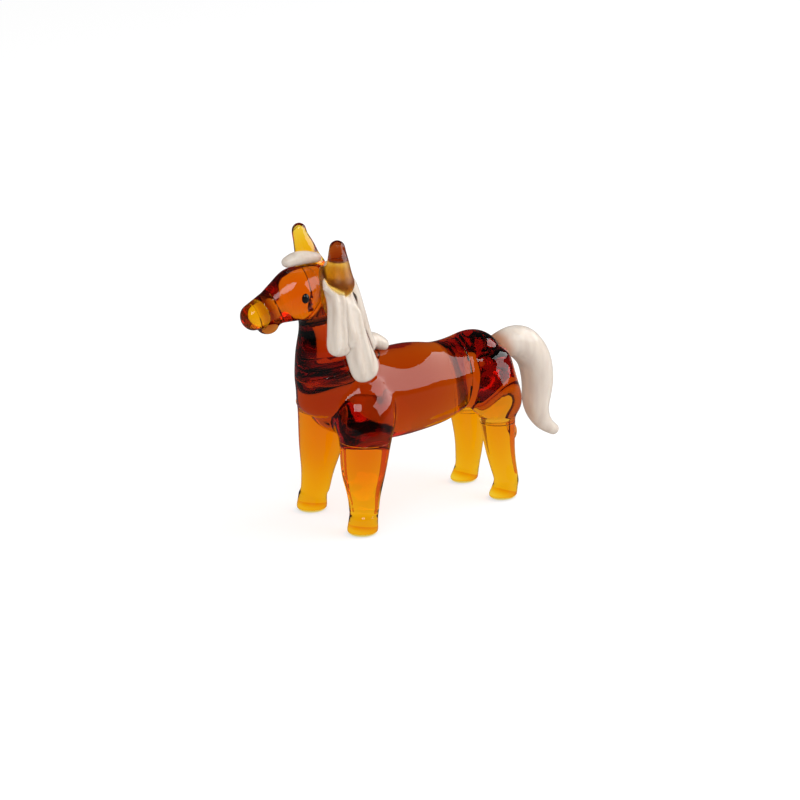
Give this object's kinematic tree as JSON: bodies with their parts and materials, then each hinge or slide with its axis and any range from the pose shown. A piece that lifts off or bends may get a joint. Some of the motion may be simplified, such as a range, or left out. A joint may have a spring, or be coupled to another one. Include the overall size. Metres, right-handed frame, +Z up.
{
  "type": "standing glass horse figurine",
  "caption": "Small free-standing lampworked glass horse: clear amber body and legs, opaque ivory mane and tail, black bead eyes.",
  "frame": {"origin": "on the ground plane, under the middle of the whole horse's bounding box", "axes": "+Z up; the horse faces -Y, its tail is towards +Y, and its left side is towards +X"},
  "size_m": [0.025, 0.078, 0.0615],
  "materials": {
    "amber_glass": "clear amber-brown soft glass, fire polished",
    "honey_glass": "clear honey-amber soft glass, fire polished",
    "ivory_glass": "opaque ivory glass, drawn in fine strands, satin to glossy",
    "black_glass": "opaque black glass, glossy"
  },
  "bodies": {
    "root": {"barrel": "amber_glass", "ear_left": "honey_glass", "ear_right": "honey_glass", "eye_left": "black_glass", "eye_right": "black_glass", "foreleg_left": "honey_glass", "foreleg_right": "honey_glass", "forelock": "ivory_glass", "haunch_left": "amber_glass", "haunch_right": "amber_glass", "head": "amber_glass", "hind_leg_left": "honey_glass", "hind_leg_right": "honey_glass", "hock_bump_left": "honey_glass", "hock_bump_right": "honey_glass", "hoof_fore_left": "honey_glass", "hoof_fore_right": "honey_glass", "hoof_hind_left": "honey_glass", "hoof_hind_right": "honey_glass", "lower_lip": "honey_glass", "mane_crest": "ivory_glass", "mane_lock_front": "ivory_glass", "mane_lock_middle": "ivory_glass", "mane_lock_rear": "ivory_glass", "mane_lock_withers": "ivory_glass", "muzzle": "honey_glass", "neck": "amber_glass", "shoulder_left": "amber_glass", "shoulder_right": "amber_glass", "tail": "ivory_glass"}
  },
  "joints": []
}
